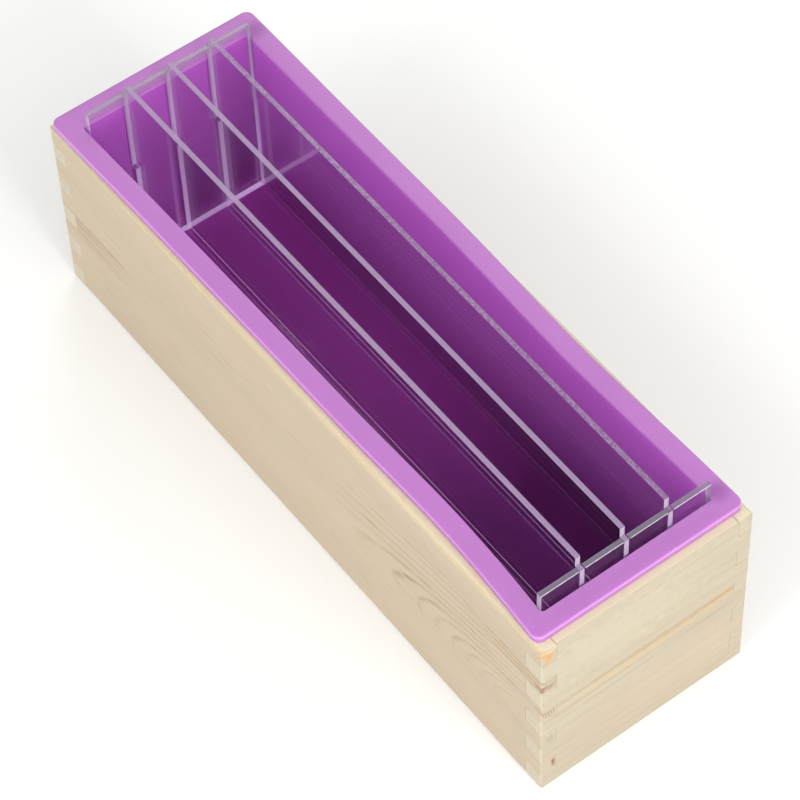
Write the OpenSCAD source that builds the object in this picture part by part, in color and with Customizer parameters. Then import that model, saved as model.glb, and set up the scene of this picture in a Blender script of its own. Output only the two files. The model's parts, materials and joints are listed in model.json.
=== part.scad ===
// Soap loaf mould: a finger-jointed pine box, a soft liner that drops into it,
// and a clear divider that splits the loaf into strips.
// Millimetres, +Z up, +X along the loaf. The origin is the centre of the underside.

/* [Wooden box] */
// Length of the box over its end boards
box_length = 280; // [200:1:360]
// Width of the box over its side boards
box_width = 87; // [76:1:120]
// Height of the box walls
box_height = 84; // [60:1:110]
// Thickness of the two long side boards
side_thick = 6; // [4:0.5:8]
// Thickness of the two end boards
end_thick = 8.5; // [5:0.5:12]
// Thickness of the base board
base_thick = 4; // [3:0.5:8]
// Fingers up each corner joint, both boards counted together
finger_count = 10; // [6:2:14]
// Radius sanded onto the outside arrises
arris_radius = 1; // [0.4:0.1:2]

/* [Silicone liner] */
// Thickness of the liner's walls and floor
liner_wall = 2; // [1.5:0.1:3.5]
// Thickness of the rim that lies on the wood
rim_thick = 3.4; // [2:0.1:5]
// Wood left showing outside the rim along each side
rim_inset_side = 0.9; // [0.4:0.1:2]
// Wood left showing outside the rim at each end
rim_inset_end = 3.3; // [0.5:0.1:4]
// Radius of the rim's outside corners in plan
rim_corner_radius = 4.5; // [2:0.5:6]
// Radius of the cavity's upright corners
cavity_corner_radius = 1.5; // [0.8:0.1:3]
// Gap between the liner and the wood
liner_gap = 0.3; // [0.2:0.1:1]

/* [Clear divider] */
// Thickness of a long board
board_thick = 2; // [1.5:0.1:3]
// Thickness of a cross board
cross_thick = 2.2; // [1.5:0.1:3]
// Height of a long board above the liner's rim
board_proud = 11.5; // [8:0.5:20]
// Height of a cross board above the liner's rim
cross_proud = 7; // [3:0.5:7.5]
// Depth of the open slots in a cross board
slot_depth = 40; // [20:1:45]
// Play on each face of a board in its slot
slot_play = 0.15; // [0.1:0.05:0.4]
// Gap between a cross board and the liner's end wall
cross_gap = 0.8; // [0.4:0.1:2]

/* [Hidden] */
$fn = 48;
cut_extra = 1;
board_count = 3;

inside_length = box_length - 2 * end_thick;
inside_width = box_width - 2 * side_thick;
finger_height = box_height / finger_count;

liner_length = inside_length - 2 * liner_gap;
liner_width = inside_width - 2 * liner_gap;
liner_base_z = base_thick + liner_gap;
cavity_length = liner_length - 2 * liner_wall;
cavity_width = liner_width - 2 * liner_wall;
cavity_floor_z = liner_base_z + liner_wall;
rim_z = box_height + liner_gap;
rim_top_z = rim_z + rim_thick;
rim_length = box_length - 2 * rim_inset_end;
rim_width = box_width - 2 * rim_inset_side;

foot_z = cavity_floor_z + liner_gap;
board_top_z = rim_top_z + board_proud;
cross_top_z = rim_top_z + cross_proud;
slot_floor_z = cross_top_z - slot_depth;
channel_width = (cavity_width - board_count * board_thick) / (board_count + 1);
board_pitch = channel_width + board_thick;
cross_width = cavity_width - 2 * liner_gap;
cross_outer_x = cavity_length / 2 - cross_gap;
cross_inner_x = cross_outer_x - cross_thick;

side_wood = [0.85, 0.79, 0.69];
end_wood = [0.88, 0.84, 0.76];
base_wood = [0.82, 0.75, 0.63];
silicone = [0.76, 0.5, 0.81];
acrylic = [0.88, 0.86, 0.92, 0.45];

// A centred rectangle with round corners
module rounded_rect(length, width, radius) {
    square([length - 2 * radius, width], center = true);
    square([length, width - 2 * radius], center = true);
    for (x = [-1, 1], y = [-1, 1])
        translate([x * (length / 2 - radius), y * (width / 2 - radius)])
            circle(r = radius);
}

// The outside shape of the whole box, with every arris sanded round
module box_envelope() {
    intersection() {
        linear_extrude(box_height)
            rounded_rect(box_length, box_width, arris_radius);
        translate([0, 0, box_height / 2])
            rotate([90, 0, 0])
                linear_extrude(box_width, center = true)
                    rounded_rect(box_length, box_height, arris_radius);
        translate([0, 0, box_height / 2])
            rotate([90, 0, 90])
                linear_extrude(box_length, center = true)
                    rounded_rect(box_width, box_height, arris_radius);
    }
}

// Every second finger up a corner, from the top, as blocks centred on the origin
module fingers(first, length, width) {
    for (i = [first : 2 : finger_count - 1])
        translate([0, 0, box_height - (i + 0.5) * finger_height])
            cube([length, width, finger_height], center = true);
}

// A long side board: side is -1 for the front and 1 for the rear
module side_board(side) {
    color(side_wood)
        intersection() {
            box_envelope();
            translate([0, side * (box_width - side_thick) / 2, 0])
                union() {
                    translate([0, 0, box_height / 2])
                        cube([inside_length, side_thick, box_height], center = true);
                    fingers(0, box_length, side_thick);
                }
        }
}

// An end board: side is -1 for the left and 1 for the right
module end_board(side) {
    color(end_wood)
        intersection() {
            box_envelope();
            translate([side * (box_length - end_thick) / 2, 0, 0])
                union() {
                    translate([0, 0, box_height / 2])
                        cube([end_thick, inside_width, box_height], center = true);
                    fingers(1, end_thick, box_width);
                }
        }
}

module base_board() {
    color(base_wood)
        translate([0, 0, base_thick / 2])
            cube([inside_length, inside_width, base_thick], center = true);
}

// The moulded tray and the flat rim that carries it on the wood
module silicone_liner() {
    color(silicone)
        difference() {
            union() {
                translate([0, 0, liner_base_z])
                    linear_extrude(rim_top_z - liner_base_z)
                        rounded_rect(liner_length, liner_width, cavity_corner_radius + liner_wall);
                translate([0, 0, rim_z])
                    linear_extrude(rim_thick)
                        rounded_rect(rim_length, rim_width, rim_corner_radius);
            }
            translate([0, 0, cavity_floor_z])
                linear_extrude(rim_top_z - cavity_floor_z + cut_extra)
                    rounded_rect(cavity_length, cavity_width, cavity_corner_radius);
        }
}

// Distance of a long board from the middle of the loaf
function board_y(index) = (index - (board_count - 1) / 2) * board_pitch;

// A long board: its ends stop at the cross boards, with a tab through each slot
module divider_board(index) {
    body_length = 2 * (cross_inner_x - slot_play);
    tab_foot_z = slot_floor_z + slot_play;
    color(acrylic)
        translate([0, board_y(index), 0])
            union() {
                translate([0, 0, (foot_z + board_top_z) / 2])
                    cube([body_length, board_thick, board_top_z - foot_z], center = true);
                translate([0, 0, (tab_foot_z + cross_top_z) / 2])
                    cube([2 * cross_outer_x, board_thick, cross_top_z - tab_foot_z], center = true);
            }
}

// A cross board with one open slot for each long board
module cross_board(side) {
    slot_width = board_thick + 2 * slot_play;
    color(acrylic)
        translate([side * (cross_inner_x + cross_outer_x) / 2, 0, 0])
            difference() {
                translate([0, 0, (foot_z + cross_top_z) / 2])
                    cube([cross_thick, cross_width, cross_top_z - foot_z], center = true);
                for (i = [0 : board_count - 1])
                    translate([0, board_y(i), slot_floor_z + (slot_depth + cut_extra) / 2])
                        cube([cross_thick + cut_extra, slot_width, slot_depth + cut_extra], center = true);
            }
}

module side_board_front() { side_board(-1); }
module side_board_rear() { side_board(1); }
module end_board_left() { end_board(-1); }
module end_board_right() { end_board(1); }
module divider_board_front() { divider_board(0); }
module divider_board_middle() { divider_board(1); }
module divider_board_rear() { divider_board(2); }
module cross_board_left() { cross_board(-1); }
module cross_board_right() { cross_board(1); }

side_board_front();
side_board_rear();
end_board_left();
end_board_right();
base_board();
silicone_liner();
divider_board_front();
divider_board_middle();
divider_board_rear();
cross_board_left();
cross_board_right();
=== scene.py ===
# Soap loaf mould: a finger-jointed pine box, a purple silicone liner, and a clear
# acrylic divider that splits the loaf into four strips. Metres, +Z up, +X along the loaf.
import json
import math

import bmesh
import bpy
import numpy as np
from mathutils import Matrix, Vector

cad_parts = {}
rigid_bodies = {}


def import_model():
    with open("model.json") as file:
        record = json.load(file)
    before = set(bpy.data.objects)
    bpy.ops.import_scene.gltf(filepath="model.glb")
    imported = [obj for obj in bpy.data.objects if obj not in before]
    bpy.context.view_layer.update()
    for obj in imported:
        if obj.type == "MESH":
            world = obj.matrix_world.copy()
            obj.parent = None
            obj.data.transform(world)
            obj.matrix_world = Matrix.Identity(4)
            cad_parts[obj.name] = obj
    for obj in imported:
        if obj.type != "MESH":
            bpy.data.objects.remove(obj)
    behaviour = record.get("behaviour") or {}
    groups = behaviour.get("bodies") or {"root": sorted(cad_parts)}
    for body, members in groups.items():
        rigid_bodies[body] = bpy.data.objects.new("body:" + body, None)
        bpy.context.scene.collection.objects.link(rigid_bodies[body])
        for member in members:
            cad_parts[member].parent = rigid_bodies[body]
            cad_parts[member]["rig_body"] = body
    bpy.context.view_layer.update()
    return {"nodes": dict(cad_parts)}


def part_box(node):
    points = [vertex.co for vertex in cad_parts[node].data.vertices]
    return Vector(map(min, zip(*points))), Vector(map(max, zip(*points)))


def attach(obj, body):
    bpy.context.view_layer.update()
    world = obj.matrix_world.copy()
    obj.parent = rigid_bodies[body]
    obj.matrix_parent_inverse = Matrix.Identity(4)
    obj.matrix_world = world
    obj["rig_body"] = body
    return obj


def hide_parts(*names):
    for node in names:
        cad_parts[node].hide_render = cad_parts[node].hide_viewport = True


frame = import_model()
mm = 0.001


def linear(hexColour):
    # sRGB hex to the linear colour that nodes take
    values = np.array([int(hexColour[i:i + 2], 16) for i in (1, 3, 5)]) / 255
    bent = np.where(values <= 0.04045, values / 12.92, ((values + 0.055) / 1.055) ** 2.4)
    return (*bent.tolist(), 1.0)


mixSockets = {"factor": 0, "a": 6, "b": 7}  # a Mix node's colour sockets
mixResult = 2


def add(tree, kind, inputs=(), stops=(), **settings):
    # one node: settings go on the node, inputs on its sockets as a value or a link,
    # and stops fill a colour ramp as (position, colour)
    made = tree.nodes.new(kind)
    for key, value in settings.items():
        setattr(made, key, value)
    for key, value in dict(inputs).items():
        socket = made.inputs[mixSockets.get(key, key)]
        if isinstance(value, bpy.types.NodeSocket):
            tree.links.new(value, socket)
        else:
            socket.default_value = value
    for i, (position, colour) in enumerate(stops):
        stop = made.color_ramp.elements[i] if i < 2 else made.color_ramp.elements.new(position)
        stop.position = position
        stop.color = colour
    return made


def calc(tree, operation, a, b=None, c=None, **settings):
    # one Math node, with a value or a link for each of the inputs that the operation has
    values = {i: value for i, value in enumerate((a, b, c)) if value is not None}
    return add(tree, "ShaderNodeMath", values, operation=operation, **settings).outputs[0]


def mix(tree, factor, a, b):
    # a colour between a and b, each of them a link or an sRGB hex
    a, b = (linear(colour) if isinstance(colour, str) else colour for colour in (a, b))
    made = add(tree, "ShaderNodeMix", {"factor": factor, "a": a, "b": b}, data_type="RGBA")
    return made.outputs[mixResult]


def remap(tree, value, span=(0, 1), to=(0, 1), **settings):
    # the value's span carried onto another, and held inside it
    return add(tree, "ShaderNodeMapRange",
               {"Value": value, "From Min": span[0], "From Max": span[1],
                "To Min": to[0], "To Max": to[1]}, **settings).outputs[0]


def scaleBy(tree, vector, factor):
    return add(tree, "ShaderNodeVectorMath", {0: vector, "Scale": factor},
               operation="SCALE").outputs[0]


def centre(tree, colour):
    # a noise colour, moved so that its middle is zero
    return add(tree, "ShaderNodeVectorMath", {0: colour, 1: (0.5, 0.5, 0.5)},
               operation="SUBTRACT").outputs[0]


def parts(tree, vector):
    return add(tree, "ShaderNodeSeparateXYZ", {0: vector}).outputs


def newMaterial(name):
    made = bpy.data.materials.new(name)
    made.use_nodes = True
    made.node_tree.nodes.clear()
    return made, made.node_tree


def finishMaterial(tree, shader):
    add(tree, "ShaderNodeOutputMaterial", {"Surface": shader})


def closeSurface(rows, columns):
    # the quads of a grid whose columns close into a ring, as whole index arrays
    row, column = np.meshgrid(np.arange(rows - 1), np.arange(columns), indexing="ij")
    after = (column + 1) % columns
    corners = (row * columns + column, row * columns + after,
               (row + 1) * columns + after, (row + 1) * columns + column)
    return np.stack(corners, -1).reshape(-1, 4)


def pieceFromRings(name, rings, smooth):
    # rings is (rows, columns, 3): a skin over the rings, with a flat face on the first and the last
    rows, columns = rings.shape[:2]
    faces = closeSurface(rows, columns).tolist()
    faces.append(list(range(columns))[::-1])
    faces.append(list(range((rows - 1) * columns, rows * columns)))
    mesh = bpy.data.meshes.new(name)
    mesh.from_pydata(rings.reshape(-1, 3).tolist(), [], faces)
    return pieceFromMesh(name, mesh, smooth)


def pieceFromMesh(name, mesh, smooth):
    # smooth is the angle under which neighbouring faces shade as one
    work = bmesh.new()
    work.from_mesh(mesh)
    bmesh.ops.recalc_face_normals(work, faces=work.faces)
    work.to_mesh(mesh)
    work.free()
    mesh.polygons.foreach_set("use_smooth", np.ones(len(mesh.polygons), bool))
    mesh.set_sharp_from_angle(angle=smooth)
    made = bpy.data.objects.new(name, mesh)
    bpy.context.scene.collection.objects.link(made)
    return made


def place(piece, node):
    # the piece stands for the CAD node and moves with its body
    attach(piece, frame["nodes"][node]["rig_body"])
    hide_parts(node)


cameraView = {
    "azimuth": math.radians(55.27),
    "elevation": math.radians(53.54),
    "roll": math.radians(-2.867),
    "lens": 153.79,
    "sensor": 36,
    "distance": 1.18923,
    "target": (0, 0, 0.040),
    "across": 0.003734,
    "up": -0.00415,
}


def makeCamera(view):
    # back is the unit vector from the target to the camera; right and up turn about it by the roll
    sinA, cosA = math.sin(view["azimuth"]), math.cos(view["azimuth"])
    sinE, cosE = math.sin(view["elevation"]), math.cos(view["elevation"])
    back = Vector((sinA * cosE, -cosA * cosE, sinE))
    level = Vector((cosA, sinA, 0))
    upright = back.cross(level)
    sinR, cosR = math.sin(view["roll"]), math.cos(view["roll"])
    right = level * cosR + upright * sinR
    up = upright * cosR - level * sinR
    at = Vector(view["target"]) + back * view["distance"] + right * view["across"] + up * view["up"]
    camera = bpy.data.objects.new("camera", bpy.data.cameras.new("camera"))
    camera.data.lens = view["lens"]
    camera.data.sensor_width = view["sensor"]
    turn = Matrix((right, up, back)).transposed().to_4x4()
    camera.matrix_world = Matrix.Translation(at) @ turn
    bpy.context.scene.collection.objects.link(camera)
    bpy.context.scene.camera = camera


studio = {
    "floorColour": "#E9E9E8",
    "floorSize": 3.0,
    # a light tent, open and dim overhead: (degrees above the horizon, strength)
    "tent": ((0, 1.0), (90, 0.03), (35, 1.3), (48, 1.6), (58, 0.10)),
    "brightest": 3.0,
    "lean": 0.45,               # how much brighter the tent is towards its lit side
    "litSide": (0.82, -0.57, 0),
    "panelAim": (0, 0, 0.04),
    # name: (place, size, watts)
    "panels": {
        "sidePanel": ((0.20, -1.10, 0.95), 0.6, 6.0),
        "endPanel": ((1.15, -0.05, 0.72), 0.5, 9.5),
        "backPanel": ((-0.85, 0.75, 0.90), 0.7, 4.0),
    },
}


def makeStudio(look):
    half = look["floorSize"] / 2
    mesh = bpy.data.meshes.new("floor")
    mesh.from_pydata([(-half, -half, 0), (half, -half, 0), (half, half, 0), (-half, half, 0)],
                     [], [(0, 1, 2, 3)])
    floor = bpy.data.objects.new("floor", mesh)
    bpy.context.scene.collection.objects.link(floor)
    paint, tree = newMaterial("matt white paper")
    shader = add(tree, "ShaderNodeBsdfPrincipled",
                 {"Base Color": linear(look["floorColour"]), "Roughness": 0.9,
                  "Specular IOR Level": 0.1})
    finishMaterial(tree, shader.outputs[0])
    mesh.materials.append(paint)

    world = bpy.data.worlds.new("studio")
    world.use_nodes = True
    world.node_tree.nodes.clear()
    aim = add(world.node_tree, "ShaderNodeTexCoord").outputs["Generated"]
    height = parts(world.node_tree, aim)["Z"]
    stops = [(math.sin(math.radians(angle)), (*[strength / look["brightest"]] * 3, 1))
             for angle, strength in look["tent"]]
    tent = add(world.node_tree, "ShaderNodeValToRGB", {"Fac": height}, stops=stops)
    # strength = brightest * (1 + lean * (direction . litSide))
    toSide = add(world.node_tree, "ShaderNodeVectorMath", {0: aim, 1: look["litSide"]},
                 operation="DOT_PRODUCT").outputs["Value"]
    strength = calc(world.node_tree, "MULTIPLY_ADD", toSide, look["lean"] * look["brightest"],
                    look["brightest"])
    sky = add(world.node_tree, "ShaderNodeBackground",
              {"Color": tent.outputs[0], "Strength": strength})
    add(world.node_tree, "ShaderNodeOutputWorld", {"Surface": sky.outputs[0]})
    bpy.context.scene.world = world
    bpy.context.scene.view_settings.view_transform = "Standard"

    for name, (at, size, watts) in look["panels"].items():
        light = bpy.data.lights.new(name, "AREA")
        light.size = size
        light.energy = watts
        lamp = bpy.data.objects.new(name, light)
        aim = Vector(look["panelAim"]) - Vector(at)
        lamp.rotation_euler = aim.to_track_quat("-Z", "Y").to_euler()
        lamp.location = at
        bpy.context.scene.collection.objects.link(lamp)


makeCamera(cameraView)
makeStudio(studio)
print("camera and studio ready")


pineBase = {
    "edgeRound": 0.25 * mm,   # what sandpaper takes off a board's sharp edges
    "ringSpacing": 2.7,       # mm between growth rings
    "warpSize": 45,           # mm, how long the rings' waves are
    "warp": 1.6,              # mm, how far the rings wander
    "earlyWood": "#B5A68F",
    "lateWood": "#876C46",
    "endColour": "#AAA08B",
    "endContrast": 0.16,      # of the rings on the board's ends
    "topLightColour": "#CFC3A7",   # painted light: the boards' upper edges are given a lighter colour, standing in for the light that falls on them
    "contrast": 0.10,         # of the rings where the grain is calm
    "strong": 1.0,            # of the rings inside the lively places
    "fibreLength": 30,        # mm
    "fibreWidth": 0.7,        # mm, coarser than real fibres so that they show
    "pores": 0.30,            # how brown the darkest fibres are
    "pithDepth": 34,          # mm from the outside face to the tree's centre line
    "pithUp": 32,             # mm above the underside
    "sweepStart": -10,        # mm along the board, from where the centre line nears the face
    "sweep": 680,             # mm, the larger the slower it nears
    "lively": (),             # (along, up) centre, (along, up) size in mm
    "marks": (),              # centre, size, turn in degrees, colour, strength
    "tearing": 1.6,           # how ragged the marks are, as a share of their size
    "warpGain": 8,            # the noise is weak, so the warp is multiplied
    "cloudTone": 0.20,        # how much the slow clouds and the fibres change the brightness
    "fibreTone": 0.16,
}


def hatch(count, firstY, step, middleZ, long, turn, colour, amount):
    # a few dark ring lines side by side on the right-hand ends of the front board's fingers
    return [((140, firstY + step * i, middleZ), (5, 0.42, long), turn, colour, amount)
            for i in range(count)]


def streaks(middle, heights, half, face, thick, colour, amount):
    # thin lines along the grain, one at each height, reaching half of their length either way
    return [((middle, face, height), (half, 20, thick), 0, colour, amount)
            for height in heights]


pineBoards = {
    "side_board_front": dict(
        pineBase, piece="pineSideFront", slot="side_pine", grain="X", face=-43.5,
        lively=(
            ((85, 50), (75, 26)),
            ((-125, 38), (45, 12)),
        ),
        marks=(
            # painted light: a pale band along the top of the outside face, just under the rim
            *streaks(0, (82.8,), 300, -43.5, 1.8, "#C8B68F", 0.55),
            *streaks(-128, (43, 38.6), 48, -43.5, 0.45, "#84694A", 0.42),
            *streaks(-118, (35, 32), 36, -43.5, 0.6, "#84694A", 0.32),
            *streaks(128, (60.5, 63, 65.5), 40, -43.5, 0.9, "#9B774C", 0.55),
            *streaks(100, (47, 50, 53), 55, -43.5, 0.45, "#8F744E", 0.40),
            ((134.5, -43.5, 39), (3, 20, 0.6), 0, "#7B5A3A", 0.60),
            ((140, -41.0, 80), (6, 3.6, 5.0), 0, "#BC8638", 0.85),
            *hatch(5, -43.2, 1.0, 62.5, 3.6, -35, "#6A563F", 0.60),
            ((140, -43.2, 61.5), (5, 0.6, 4.0), -30, "#7A4030", 0.60),
            *hatch(5, -43.0, 1.1, 46.2, 3.8, 14, "#6A563F", 0.55),
            ((140, -38.6, 13.5), (5, 1.3, 4), 0, "#85471F", 0.90),
            ((140, -40.5, 29), (5, 3, 3.6), 0, "#8C8A7E", 0.50),
        ),
    ),
    "side_board_rear": dict(
        pineBase, piece="pineSideRear", slot="side_pine", grain="X", face=43.5,
        pithDepth=-46, pithUp=20, sweepStart=-60, sweep=-900,
        lively=(
            ((-60, 40), (80, 26)),
            ((110, 60), (50, 14)),
        ),
    ),
    "end_board_right": dict(
        pineBase, piece="pineEndRight", slot="end_pine", grain="Y", face=140,
        earlyWood="#A99F8A", lateWood="#876D4E", endColour="#B8AE9A",
        endContrast=0.08, contrast=0.26, pithDepth=-60, pithUp=44, sweepStart=200,
        marks=(
            ((12, 140, 16), (70, 20, 24), 0, "#BAA18A", 0.28),
            ((-14, 140, 68), (50, 20, 18), 0, "#B9B19E", 0.35),
            ((4, 140, 44.0), (75, 20, 4.2), 0, "#BFA581", 0.35),
            *streaks(-2, (47.4, 46.2), 62, 140, 0.7, "#8E7552", 0.50),
            ((32, 140, 46.8), (16, 20, 1.0), 0, "#B07F3C", 0.65),
            ((12, 140, 45.2), (34, 20, 0.6), 0, "#B58A4C", 0.45),
            *streaks(-16, (41.2, 37.2), 44, 140, 0.6, "#8E7552", 0.40),
            *streaks(0, (81, 70.5, 60, 55), 60, 140, 0.7, "#B39C6B", 0.35),
        ),
    ),
    "end_board_left": dict(
        pineBase, piece="pineEndLeft", slot="end_pine", grain="Y", face=-140,
        earlyWood="#A99F8A", lateWood="#876D4E", endColour="#B8AE9A",
        endContrast=0.08, contrast=0.26, pithDepth=52, pithUp=30, sweepStart=200,
        lively=(((0, 50), (60, 20)),),
    ),
    "base_board": dict(
        pineBase, piece="pineBase", slot="base_pine", grain="X", face=0,
        pithDepth=-40, pithUp=-30, sweepStart=-40, sweep=-900,
        lively=(((0, 0), (120, 40)),),
    ),
}


spotCore = 0.2  # the part of a soft spot that is at full strength


def softSpot(tree, where, middle, size, turn=0.0):
    # 1 in the middle of a soft ellipsoid and 0 outside it
    local = add(tree, "ShaderNodeMapping",
                {"Vector": where, "Location": middle, "Rotation": (math.radians(turn), 0, 0),
                 "Scale": size}, vector_type="TEXTURE")
    far = add(tree, "ShaderNodeVectorMath", {0: local.outputs[0]}, operation="LENGTH")
    return remap(tree, far.outputs["Value"], (spotCore, 1.0), (1.0, 0.0),
                 interpolation_type="SMOOTHSTEP")


def pineRings(tree, look, pushed):
    # growth rings as (0 to 1 in each ring, number of the ring with its fraction):
    # the distance to the tree's centre line, whose depth behind the face is
    # pithDepth - (along - sweepStart)^2 / sweep
    moved = parts(tree, pushed)
    past = calc(tree, "SUBTRACT", moved["X"], look["sweepStart"])
    past = calc(tree, "MAXIMUM", past, 0)
    square = calc(tree, "MULTIPLY", past, past)
    depth = calc(tree, "MULTIPLY_ADD", square, -1 / look["sweep"], look["pithDepth"] + look["face"])
    side = calc(tree, "SUBTRACT", moved["Y"], depth)
    rise = calc(tree, "SUBTRACT", moved["Z"], look["pithUp"])
    flat = add(tree, "ShaderNodeCombineXYZ", {"X": side, "Y": rise}).outputs[0]
    radius = add(tree, "ShaderNodeVectorMath", {0: flat}, operation="LENGTH").outputs["Value"]
    rings = calc(tree, "DIVIDE", radius, look["ringSpacing"])
    phase = calc(tree, "FRACT", rings)
    lateWood = add(tree, "ShaderNodeValToRGB", {"Fac": phase},
                   stops=((0.0, (0.35, 0.35, 0.35, 1)), (1.0, (0.5, 0.5, 0.5, 1)),
                          (0.10, (0, 0, 0, 1)), (0.65, (0.10, 0.10, 0.10, 1)),
                          (0.92, (1, 1, 1, 1)))).outputs[0]
    return lateWood, rings


def pineMaterial(name, look):
    # planed and sanded pine, left bare: a matt pale cream with straw-coloured growth rings
    # that meet the face as arches, fine silky fibres along the board and greyer end grain
    made, tree = newMaterial(name)
    coords = add(tree, "ShaderNodeTexCoord")
    scaled = scaleBy(tree, coords.outputs["Object"], 1 / mm)
    alongY = look["grain"] == "Y"
    xyz = parts(tree, scaled)
    facing = parts(tree, coords.outputs["Normal"])
    along, across = xyz[int(alongY)], xyz[int(not alongY)]
    grainSpace = add(tree, "ShaderNodeCombineXYZ",
                     {"X": along, "Y": across, "Z": xyz["Z"]}).outputs[0]

    # the rings wander: a slow noise, long along the grain, moves the point before it is measured
    slow = add(tree, "ShaderNodeMapping",
               {"Vector": grainSpace,
                "Scale": (0.25 / look["warpSize"], 1 / look["warpSize"], 1 / look["warpSize"])})
    waves = add(tree, "ShaderNodeTexNoise", {"Vector": slow.outputs[0], "Scale": 1, "Detail": 2})
    push = look["warpGain"] * look["warp"]
    pushed = add(tree, "ShaderNodeVectorMath",
                 {0: centre(tree, waves.outputs["Color"]), 1: (0, push, push), 2: grainSpace},
                 operation="MULTIPLY_ADD").outputs[0]
    lateWood, rings = pineRings(tree, look, pushed)
    years = add(tree, "ShaderNodeTexNoise", {"W": rings, "Scale": 0.45, "Detail": 1},
                noise_dimensions="1D").outputs[0]

    # how strongly the rings show: calm over most of the board, lively in its own places
    strength = add(tree, "ShaderNodeValue").outputs[0]
    strength.default_value = look["contrast"]
    for (spotAlong, spotUp), (long, high) in look["lively"]:
        spot = softSpot(tree, pushed, (spotAlong, look["face"], spotUp), (long, 200, high))
        strength = calc(tree, "MULTIPLY_ADD", spot, look["strong"], strength)
    shown = calc(tree, "MULTIPLY", lateWood, strength)
    shown = calc(tree, "MULTIPLY", shown, years)

    fibreScale = (1 / look["fibreLength"], 1 / look["fibreWidth"], 1 / look["fibreWidth"])
    fibreSpace = add(tree, "ShaderNodeMapping", {"Vector": pushed, "Scale": fibreScale})
    fibres = add(tree, "ShaderNodeTexNoise",
                 {"Vector": fibreSpace.outputs[0], "Scale": 1, "Detail": 3}).outputs[0]
    cloudSpace = add(tree, "ShaderNodeMapping", {"Vector": grainSpace, "Scale": (0.008, 0.05, 0.05)})
    clouds = add(tree, "ShaderNodeTexNoise",
                 {"Vector": cloudSpace.outputs[0], "Scale": 1, "Detail": 2}).outputs[0]

    # the fibres break the rings up, and the darkest of them show as short brown streaks
    broken = remap(tree, fibres, (0.35, 0.65), (0.25, 1.25))
    shown = calc(tree, "MULTIPLY", shown, broken)
    pores = remap(tree, fibres, (0.58, 0.72), (0, look["pores"]))
    shown = calc(tree, "ADD", shown, pores, use_clamp=True)

    colour = mix(tree, shown, look["earlyWood"], look["lateWood"])
    endGrain = calc(tree, "ABSOLUTE", facing[int(alongY)])
    endGrain = remap(tree, endGrain, (0.6, 0.8))
    endRings = calc(tree, "MULTIPLY", lateWood, look["endContrast"])
    colour = mix(tree, endGrain, colour, mix(tree, endRings, look["endColour"], look["lateWood"]))
    # painted light: faces that point up take the lighter top colour
    paintedTopLight = remap(tree, facing["Z"], (0.85, 0.99))
    colour = mix(tree, paintedTopLight, colour, look["topLightColour"])

    ragged = add(tree, "ShaderNodeTexNoise", {"Vector": grainSpace, "Scale": 0.3, "Detail": 2})
    ragged = centre(tree, ragged.outputs["Color"])
    for middle, size, turn, markColour, amount in look["marks"]:
        torn = add(tree, "ShaderNodeVectorMath",
                   {0: ragged, 1: [look["tearing"] * reach for reach in size], 2: grainSpace},
                   operation="MULTIPLY_ADD").outputs[0]
        spot = softSpot(tree, torn, middle, size, turn)
        spot = calc(tree, "MULTIPLY", spot, amount)
        colour = mix(tree, spot, colour, markColour)

    # brightness = 1 + cloudTone * (clouds - 0.5) + fibreTone * (fibres - 0.5)
    tone = calc(tree, "MULTIPLY_ADD", clouds, look["cloudTone"], 1 - look["cloudTone"] / 2)
    tone = calc(tree, "MULTIPLY_ADD", fibres, look["fibreTone"], tone)
    tone = calc(tree, "SUBTRACT", tone, look["fibreTone"] / 2)
    colour = scaleBy(tree, colour, tone)

    relief = calc(tree, "MULTIPLY_ADD", shown, 0.6, fibres)
    bump = add(tree, "ShaderNodeBump",
               {"Height": relief, "Strength": 0.25, "Distance": 0.1 * mm})
    rough = remap(tree, fibres, to=(0.52, 0.72))
    shader = add(tree, "ShaderNodeBsdfPrincipled",
                 {"Base Color": colour, "Roughness": rough, "Normal": bump.outputs[0],
                  "Specular IOR Level": 0.35})
    finishMaterial(tree, shader.outputs[0])
    return made


def makePineBoard(node, look):
    # the board as the CAD has it, with its sharp edges eased so that the finger joints show
    mesh = frame["nodes"][node].data.copy()
    work = bmesh.new()
    work.from_mesh(mesh)
    bmesh.ops.remove_doubles(work, verts=work.verts, dist=0.001 * mm)
    bmesh.ops.dissolve_limit(work, angle_limit=math.radians(0.5), verts=work.verts, edges=work.edges)
    work.to_mesh(mesh)
    work.free()
    mesh.materials.clear()
    mesh.name = look["piece"]
    piece = pieceFromMesh(look["piece"], mesh, math.radians(35))
    mesh.materials.append(pineMaterial("planed pine " + look["piece"], look))
    easing = piece.modifiers.new("easing", "BEVEL")
    easing.width = look["edgeRound"]
    easing.segments = 2
    easing.limit_method = "ANGLE"
    easing.angle_limit = math.radians(50)
    easing.harden_normals = True
    place(piece, node)


for node, look in pineBoards.items():
    makePineBoard(node, look)
print("pine box ready")


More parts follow.
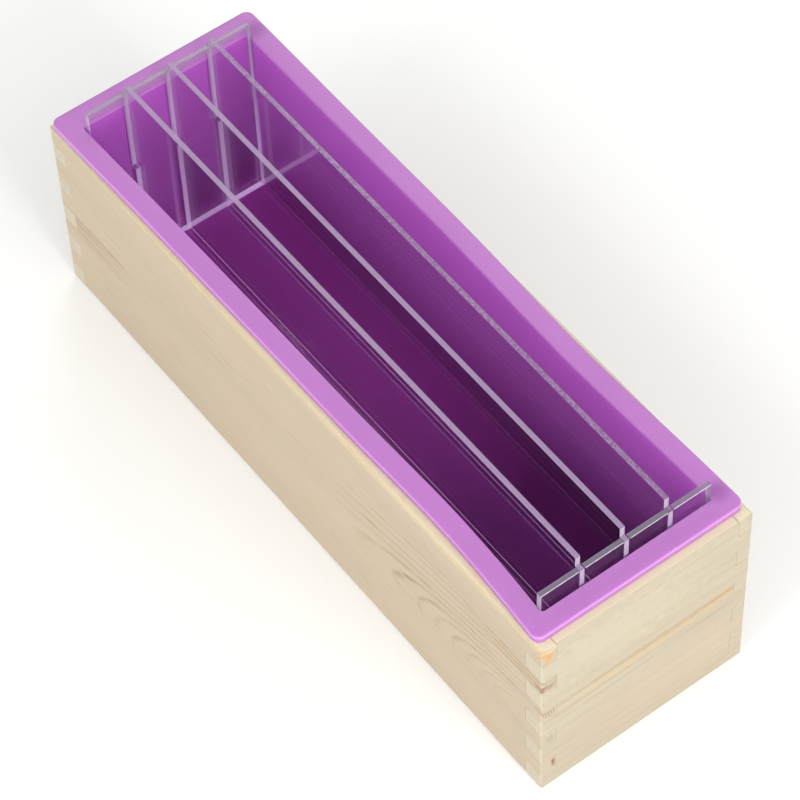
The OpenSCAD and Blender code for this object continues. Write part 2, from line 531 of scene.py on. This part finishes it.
linerShape = {
    "wall": 2.0 * mm,
    "rimThick": 3.4 * mm,
    "woodGap": 0.3 * mm,       # between the liner and the box
    "rimDrop": 0.2 * mm,       # how far the soft rim settles on the wood
    "cavityCorner": 1.5 * mm,
    "rimCorner": 3.2 * mm,
    "floorFillet": 1.5 * mm,
    "innerArris": 0.45 * mm,
    "outerArris": 0.6 * mm,
    "footFillet": 2.5 * mm,
    "arcSteps": 5,
    "wallSteps": 12,
    "cornerSteps": 8,
    "longSteps": 64,
    "shortSteps": 18,
    # how the long sides lean inwards: (depth, middle, half width) of each soft hump
    "frontBow": ((1.9 * mm, 84 * mm, 40 * mm), (0.9 * mm, 10 * mm, 75 * mm),
                 (-0.9 * mm, -140 * mm, 40 * mm), (-0.8 * mm, 140 * mm, 16 * mm)),
    "rearBow": ((1.8 * mm, 55 * mm, 50 * mm), (0.4 * mm, -60 * mm, 50 * mm)),
    "backReach": 2.6 * mm,     # the rim lies further out over the left end board
    "reachFrom": (130 * mm, 0.2),   # from 0.2 of this distance from the middle on
    "reachPower": 8,           # high, so that only the rim reaches out and not the wall
    "leanPower": 1.6,          # the walls lean most near the rim
    # rows on the flat stretches, measured outwards from the cavity
    "floorRows": (-9 * mm, -4 * mm),
    "rimRows": (2.5 * mm, 4.5 * mm),
    "footRow": 9 * mm,         # inwards from the outside of the wall
    "underStep": 1 * mm,       # round the corner between the wall and the rim's underside
    "lowArris": 0.4 * mm,
    "smallestBend": 0.3 * mm,
}


def arc(fromAngle, toAngle, steps):
    # unit circle points from one angle to the other, in degrees
    turn = np.radians(np.linspace(fromAngle, toAngle, steps + 1))
    return np.cos(turn), np.sin(turn)


def linerProfile(shape):
    # rows of (half length, half width, corner radius, height, lean), from the floor over the rim
    # to the underside: straight stretches joined by quarter circles
    rimLow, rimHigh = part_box("silicone_liner")
    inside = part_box("base_board")[1]
    cavity = np.array((inside.x, inside.y)) - shape["woodGap"] - shape["wall"]
    rim = np.array((rimHigh.x, rimHigh.y))
    bottom, top = rimLow.z, rimHigh.z - shape["rimDrop"]
    floor, under = bottom + shape["wall"], rimHigh.z - shape["rimThick"] - shape["rimDrop"]
    wall, steps = shape["wall"], shape["arcSteps"]
    corner, rimCorner = shape["cavityCorner"], shape["rimCorner"]
    lowArris, underStep, leanPower = shape["lowArris"], shape["underStep"], shape["leanPower"]
    rows = []

    def run(outline, outset, radius, height, lean):
        # outset is measured from the outline, one row for each of its values
        outset, height = np.broadcast_arrays(np.asarray(outset, float), height)
        half = outline[None, :] + outset.reshape(-1, 1)
        bend = np.maximum(radius + outset.ravel(), shape["smallestBend"])
        rows.append(np.column_stack((half, bend, height.ravel(), np.full(len(half), lean))))

    fillet, inner, outer, foot = (shape[k] for k in ("floorFillet", "innerArris", "outerArris",
                                                     "footFillet"))
    run(cavity, shape["floorRows"], corner, floor, 0)
    across, rise = arc(-90, 0, steps)
    run(cavity, -fillet + fillet * across, corner, floor + fillet + fillet * rise, 0)
    wallRows = np.linspace(0, 1, shape["wallSteps"] + 1)[1:]
    low, high = floor + fillet, top - inner
    for share in wallRows:
        run(cavity, [0], corner, low + (high - low) * share, share ** leanPower)
    across, rise = arc(180, 90, steps)
    run(cavity, inner + inner * across[1:], corner, top - inner + inner * rise[1:], 1)
    run(cavity, shape["rimRows"], corner + 1 * mm, top, 1)
    across, rise = arc(90, 0, steps)
    run(rim, -outer + outer * across, rimCorner, top - outer + outer * rise, 1)
    across, rise = arc(0, -90, 3)
    run(rim, -lowArris + lowArris * across, rimCorner, under + lowArris + lowArris * rise, 1)
    run(cavity, [wall + underStep], corner, under, 1)
    run(cavity, [wall], corner, under - underStep, 1)
    for share in wallRows[:-1][::-1]:
        height = low + (under - underStep - low) * share
        run(cavity, [wall], corner, height, share ** leanPower)
    across, rise = arc(0, -90, steps)
    run(cavity, wall - foot + foot * across, corner, bottom + foot + foot * rise, 0)
    run(cavity, [wall - shape["footRow"]], corner, bottom, 0)
    return np.concatenate(rows)


def roundedOutline(shape):
    # each column slides between two anchors of a rounded rectangle: (sign x, sign y, cos, sin)
    first, second, share = [], [], []
    signs = ((1, 1), (-1, 1), (-1, -1), (1, -1))
    for i, (signX, signY) in enumerate(signs):
        turn = np.radians(np.linspace(90 * i, 90 * (i + 1), shape["cornerSteps"] + 1))
        anchors = np.column_stack((np.full(len(turn), signX), np.full(len(turn), signY),
                                   np.cos(turn), np.sin(turn)))
        first.append(anchors)
        second.append(anchors)
        share.append(np.zeros(len(turn)))
        steps = shape["longSteps"] if i in (0, 2) else shape["shortSteps"]
        between = np.linspace(0, 1, steps + 1)[1:-1]
        nextX, nextY = signs[(i + 1) % 4]
        first.append(np.repeat(anchors[-1:], len(between), 0))
        second.append(np.repeat([[nextX, nextY, anchors[-1, 2], anchors[-1, 3]]], len(between), 0))
        share.append(between)
    return np.concatenate(first), np.concatenate(second), np.concatenate(share)


def humps(along, bow):
    # the sum of soft humps, each depth * exp(-((along - middle) / half width)^2)
    return sum(depth * np.exp(-((along - middle) / width) ** 2) for depth, middle, width in bow)


def makeLiner(shape):
    # the profile carried round the rounded rectangle: corner centre + radius * direction, the
    # straight sides mixed from their ends, then the width drawn in where the long sides lean
    profile = linerProfile(shape)
    first, second, share = roundedOutline(shape)
    halfLength, halfWidth, radius, height, lean = (profile[:, i, None] for i in range(5))

    def at(anchor):
        x = anchor[:, 0] * (halfLength - radius) + anchor[:, 2] * radius
        y = anchor[:, 1] * (halfWidth - radius) + anchor[:, 3] * radius
        return x, y

    (x1, y1), (x2, y2) = at(first), at(second)
    x, y = x1 + (x2 - x1) * share, y1 + (y2 - y1) * share
    bow = np.where(y < 0, humps(x, shape["frontBow"]), humps(x, shape["rearBow"]))
    outer = np.clip((halfLength - halfLength.min()) / np.ptp(halfLength), 0, 1)
    reachLength, reachStart = shape["reachFrom"]
    leftward = np.clip(-x / reachLength - reachStart, 0, 1)
    x = x - shape["backReach"] * outer ** shape["reachPower"] * leftward
    y = y * (1 - lean * bow / halfWidth)
    rings = np.stack((x, y, np.broadcast_to(height, x.shape)), -1)
    return pieceFromRings("siliconeLiner", rings, math.radians(40))


siliconeLook = {
    # the silicone's own colour, lighter and whiter on the rim as a painted sheen
    "rimColour": "#AA6FB1",
    "cavityBounceLightColour": "#B45BC1",   # painted light: richer, standing in for the coloured light that bounces round inside the mould
    "floorColour": "#AA3FAA",    # painted shade: darker and redder in the bottom of the mould, where the light is dimmest and reddest
    "floorShadeHeights": (28 * mm, 6 * mm),   # heights over which that painted shade comes in
    # painted shadows on the rim beside the divider's ends: centre, reach, strength
    "paintedShadows": (((-0.129, 0.038, 0.0875), 7 * mm, 0.35), ((0.128, 0.038, 0.0875), 6 * mm, 0.35)),
    "paintedShadowColour": "#6E2F7C",
    "arrisHighlightColour": "#D7A0DE",
    "arrisLight": 0.5,
    "fadeDepth": 1.6 * mm,        # below the rim, over which the colour changes
    "roughness": (0.30, 0.40),
    "scatter": 0.12,
    "scatterDepth": 3 * mm,
    "cloudTone": (1.04, 0.92),
    "grain": 0.35,               # mm, the mould's fine blasted texture
    "specks": 2.2,               # mm between possible dust specks
    "speckShare": 0.035,         # of those places, how many hold one
    "speckColour": "#E9DDEC",
    "speckStrength": 0.35,
}


def siliconeMaterial(look):
    # injection-moulded silicone rubber: satin, a little translucent, with cloudy handling marks,
    # a fine blasted texture and the lint that it always picks up
    made, tree = newMaterial("moulded purple silicone")
    coords = add(tree, "ShaderNodeTexCoord").outputs["Object"]
    scaled = scaleBy(tree, coords, 1 / mm)
    clouds = add(tree, "ShaderNodeTexNoise",
                 {"Vector": scaled, "Scale": 0.03, "Detail": 3}).outputs[0]
    height = parts(tree, coords)["Z"]
    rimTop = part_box("silicone_liner")[1].z
    rim = remap(tree, height, (rimTop - look["fadeDepth"], rimTop - 0.4 * mm))
    # everything outside the cavity has the rim's colour too
    span = add(tree, "ShaderNodeVectorMath", {0: coords}, operation="ABSOLUTE").outputs[0]
    span = add(tree, "ShaderNodeVectorMath",
               {0: span, 1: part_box("base_board")[1]}, operation="SUBTRACT").outputs[0]
    span = parts(tree, span)
    outside = calc(tree, "MAXIMUM", span["X"], span["Y"])
    outside = remap(tree, outside, (-1 * mm, -0.4 * mm))
    # painted highlight: the arris between them is painted lighter, 4 * rim * (1 - rim) peaking halfway
    arris = calc(tree, "SUBTRACT", 1, rim)
    arris = calc(tree, "MULTIPLY", arris, rim)
    arris = calc(tree, "MULTIPLY", arris, 4 * look["arrisLight"])
    rim = calc(tree, "MAXIMUM", rim, outside)
    # painted light and shade: the cavity richer than the rim, its floor darker and redder
    floorShade = remap(tree, height, look["floorShadeHeights"])
    inside = mix(tree, floorShade, look["cavityBounceLightColour"], look["floorColour"])
    colour = mix(tree, rim, inside, look["rimColour"])
    # painted highlight along the rim's inner arris
    colour = mix(tree, arris, colour, look["arrisHighlightColour"])
    colour = scaleBy(tree, colour, remap(tree, clouds, to=look["cloudTone"]))
    # painted shadows: soft dark spots on the rim beside the divider's ends
    for middle, reach, amount in look["paintedShadows"]:
        spot = softSpot(tree, coords, middle, (reach, reach, reach))
        spot = calc(tree, "MULTIPLY", spot, amount)
        colour = mix(tree, spot, colour, look["paintedShadowColour"])

    # each cell holds one place for a speck, and its random colour says whether it is used
    cells = add(tree, "ShaderNodeTexVoronoi",
                {"Vector": scaled, "Scale": 1 / look["specks"], "Randomness": 1})
    dot = remap(tree, cells.outputs["Distance"], (0.05, 0.11), (1, 0))
    chosen = add(tree, "ShaderNodeSeparateColor", {0: cells.outputs["Color"]}).outputs[0]
    chosen = calc(tree, "GREATER_THAN", chosen, 1 - look["speckShare"])
    lint = calc(tree, "MULTIPLY", dot, chosen)
    lint = calc(tree, "MULTIPLY", lint, look["speckStrength"])
    colour = mix(tree, lint, colour, look["speckColour"])

    texture = add(tree, "ShaderNodeTexNoise",
                  {"Vector": scaled, "Scale": 1 / look["grain"], "Detail": 2}).outputs[0]
    bump = add(tree, "ShaderNodeBump",
               {"Height": texture, "Strength": 0.12, "Distance": 0.05 * mm})
    rough = remap(tree, clouds, to=look["roughness"])
    shader = add(tree, "ShaderNodeBsdfPrincipled",
                 {"Base Color": colour, "Roughness": rough, "IOR": 1.41,
                  "Specular IOR Level": 0.3, "Normal": bump.outputs[0],
                  "Subsurface Weight": look["scatter"], "Subsurface Radius": (1.0, 0.6, 1.0),
                  "Subsurface Scale": look["scatterDepth"]})
    finishMaterial(tree, shader.outputs[0])
    return made


liner = makeLiner(linerShape)
liner.data.materials.append(siliconeMaterial(siliconeLook))
place(liner, "silicone_liner")
print("silicone liner ready")


dividerShape = {
    "slotDepth": 40 * mm,
    "play": 0.15 * mm,          # on each face of a board in its slot
    "boardEasing": 0.35 * mm,   # how much the long boards' edges are broken
    "crossEasing": 0.35 * mm,   # the cross boards' edges are flame-polished round
}

boardNames = {
    "divider_board_front": "acrylicBoardFront",
    "divider_board_middle": "acrylicBoardMiddle",
    "divider_board_rear": "acrylicBoardRear",
}
crossNames = {"cross_board_left": "acrylicCrossLeft", "cross_board_right": "acrylicCrossRight"}


def sheetPiece(name, outline, low, high, easing, axis):
    # a square-cornered outline carried through the sheet's thickness; near each face a quarter
    # circle draws it in, each corner moving along the sum of its two edges' inward directions
    points = np.array(outline, float)
    edge = np.roll(points, -1, 0) - points
    edge /= np.linalg.norm(edge, axis=1, keepdims=True)
    inward = np.column_stack((-edge[:, 1], edge[:, 0]))
    move = inward + np.roll(inward, 1, 0)
    across, rise = arc(180, 90, 4)
    levels = np.concatenate((low + easing * (1 - rise[::-1]), high - easing * (1 - rise)))
    inset = easing * (1 + np.concatenate((across[::-1], across)))
    flat = points[None] + inset[:, None, None] * move[None]
    depth = np.broadcast_to(levels[:, None], flat.shape[:2])
    order = (flat[..., 0], depth, flat[..., 1]) if axis == "Y" else (depth, flat[..., 0], flat[..., 1])
    return pieceFromRings(name, np.stack(order, -1), math.radians(10))


def boardOutline(node, shape):
    # (x, z) round a long board, anticlockwise: a body between the cross boards and a tab at each end
    low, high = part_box(node)
    crossLow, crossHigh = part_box("cross_board_right")
    body, tab = crossLow.x - shape["play"], high.x
    tabTop, tabFoot = crossHigh.z, crossHigh.z - shape["slotDepth"] + shape["play"]
    return ((-body, low.z), (body, low.z), (body, tabFoot), (tab, tabFoot), (tab, tabTop),
            (body, tabTop), (body, high.z), (-body, high.z), (-body, tabTop), (-tab, tabTop),
            (-tab, tabFoot), (-body, tabFoot))


def crossOutline(node, shape):
    # (y, z) round a cross board, anticlockwise, down and up each slot from the far side back
    low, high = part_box(node)
    slotFloor = high.z - shape["slotDepth"]
    points = [(low.y, low.z), (high.y, low.z), (high.y, high.z)]
    for board in reversed(list(boardNames)):
        boardLow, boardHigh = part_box(board)
        left, right = boardLow.y - shape["play"], boardHigh.y + shape["play"]
        points += [(right, high.z), (right, slotFloor), (left, slotFloor), (left, high.z)]
    return points + [(low.y, high.z)]


acrylicLook = {
    "tint": "#FDFCFD",
    "roughness": 0.02,
    "headOn": 0.04,          # what acrylic of IOR 1.49 mirrors of a ray that meets it head on
    "toothMark": 0.9,        # mm between saw marks
    "pipedGlowColour": "#9E84AC",   # painted light: colour of an emission glow that stands in for the light a sheet leads down to its lower edges
    "pipedGlowStrength": 1.4,
    "pipedFrom": (91 * mm, 6 * mm),   # heights over which that painted glow gathers
    # name of each worked edge: colour, how much it hides what is behind, roughness, speckle
    "edges": {
        "sawn acrylic edge": ("#957E9F", 0.85, 0.45, 0.08),
        "chipped acrylic edge": ("#957E9F", 0.65, 0.45, 0.55),
        "upright acrylic edge": ("#B3A5BA", 0.80, 0.45, 0.15),   # painted light: lighter, as it looks into the light
        "acrylic arris highlight": ("#C9C0CE", 0.80, 0.40, 0.35),   # painted highlight: the fine bright line along a cross board's top
        "flame-polished acrylic edge": ("#7E7684", 0.70, 0.15, 0.10),
    },
}


def clearShader(tree, look):
    # a sharp reflection that grows towards grazing view as headOn + (1 - headOn) * facing^5
    facing = add(tree, "ShaderNodeLayerWeight", {"Blend": 0.5}).outputs["Facing"]
    steep = calc(tree, "POWER", facing, 5)
    mirror = calc(tree, "MULTIPLY_ADD", steep, 1 - look["headOn"], look["headOn"])
    through = add(tree, "ShaderNodeBsdfTransparent", {"Color": linear(look["tint"])}).outputs[0]
    gloss = add(tree, "ShaderNodeBsdfAnisotropic",
                {"Color": linear("#FFFFFF"), "Roughness": look["roughness"]}).outputs[0]
    clear = add(tree, "ShaderNodeMixShader", {0: mirror, 1: through, 2: gloss}).outputs[0]
    # the sheet throws no shadow of its own
    shadowRay = add(tree, "ShaderNodeLightPath").outputs["Is Shadow Ray"]
    pane = add(tree, "ShaderNodeBsdfTransparent", {"Color": linear("#FFFFFF")}).outputs[0]
    return add(tree, "ShaderNodeMixShader", {0: shadowRay, 1: clear, 2: pane}).outputs[0]


def edgeShader(tree, look, colour, roughness, speckle):
    # a worked edge: milky, with the marks of its tool and a painted glow for the light led down to it
    coords = add(tree, "ShaderNodeTexCoord").outputs["Object"]
    marks = add(tree, "ShaderNodeTexNoise",
                {"Vector": scaleBy(tree, coords, 1 / mm), "Scale": 1 / look["toothMark"],
                 "Detail": 3, "Roughness": 0.6}).outputs[0]
    tone = remap(tree, marks, (0.35, 0.65), (1 - speckle, 1 + 0.3 * speckle))
    toned = scaleBy(tree, linear(colour)[:3], tone)
    # painted light: the edge glows by emission, more towards the bottom
    pipedGlow = remap(tree, parts(tree, coords)["Z"], look["pipedFrom"], (0, look["pipedGlowStrength"]))
    bump = add(tree, "ShaderNodeBump", {"Height": marks, "Strength": 0.3, "Distance": 0.1 * mm})
    return add(tree, "ShaderNodeBsdfPrincipled",
               {"Base Color": toned, "Roughness": roughness, "IOR": 1.49,
                "Emission Color": linear(look["pipedGlowColour"]), "Emission Strength": pipedGlow,
                "Normal": bump.outputs[0]}).outputs[0]


def acrylicMaterial(name, look):
    # cast acrylic: water clear on its faces, hazy white to grey where an edge was worked
    made, tree = newMaterial(name)
    shader = clearShader(tree, look)
    if name in look["edges"]:
        colour, solid, roughness, speckle = look["edges"][name]
        worked = edgeShader(tree, look, colour, roughness, speckle)
        shader = add(tree, "ShaderNodeMixShader", {0: solid, 1: shader, 2: worked}).outputs[0]
    finishMaterial(tree, shader)
    return made


# the materials' places on a sheet, and how far a face's unit normal points along an axis
# before the face counts as one of these
faceSlot, topSlot, uprightSlot, arrisHighlightSlot = range(4)
pointing = {"face": 0.97, "top": 0.2, "foot": -0.95, "arris": 0.3, "notDown": -0.1}


def paintSheet(piece, axis, materials, footSlot, slotsWithin=0):
    # the two big faces are clear, and so are the walls and floors of the slots, which lie within
    # slotsWithin of the middle; the top, the upright edges, the foot and, with a fourth material,
    # the right-hand arris of the top, which carries a painted highlight, are picked out by their
    # normals
    normals = np.zeros(len(piece.data.polygons) * 3)
    centres = np.zeros(len(normals))
    piece.data.polygons.foreach_get("normal", normals)
    piece.data.polygons.foreach_get("center", centres)
    across, up = normals.reshape(-1, 3)[:, (axis, 2)].T
    centres = centres.reshape(-1, 3)
    chosen = np.where(up > pointing["top"], topSlot, uprightSlot)
    chosen = np.where(np.abs(across) > pointing["face"], faceSlot, chosen)
    chosen = np.where(up < pointing["foot"], footSlot, chosen)
    belowTop = centres[:, 2] < centres[:, 2].max() - 1 * mm
    inSlot = belowTop & (np.abs(centres[:, 1 - axis]) < slotsWithin) & (up > pointing["notDown"])
    chosen = np.where(inSlot, faceSlot, chosen)
    # painted highlight on the right-hand arris of the top
    if len(materials) > arrisHighlightSlot:
        rightArris = (across > pointing["arris"]) & (across < pointing["face"])
        chosen = np.where(rightArris & (up > pointing["top"]), arrisHighlightSlot, chosen)
    for material in materials:
        piece.data.materials.append(material)
    piece.data.polygons.foreach_set("material_index", chosen.astype(np.int32))


clear, sawn, chipped, upright, arris, polished = (
    acrylicMaterial(name, acrylicLook) for name in ("cast acrylic sheet", *acrylicLook["edges"]))

for node, name in boardNames.items():
    low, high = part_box(node)
    board = sheetPiece(name, boardOutline(node, dividerShape), low.y, high.y,
                       dividerShape["boardEasing"], "Y")
    rough = node == "divider_board_rear"
    paintSheet(board, 1, (clear, chipped if rough else sawn, upright), faceSlot)
    place(board, node)
for node, name in crossNames.items():
    low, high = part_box(node)
    cross = sheetPiece(name, crossOutline(node, dividerShape), low.x, high.x,
                       dividerShape["crossEasing"], "X")
    ofCross = [clear, polished, upright]
    # the right cross board also gets the painted highlight along its top arris
    if node == "cross_board_right":
        ofCross.append(arris)
    paintSheet(cross, 0, ofCross, uprightSlot, high.y - 1 * mm)
    place(cross, node)
print("clear divider ready")
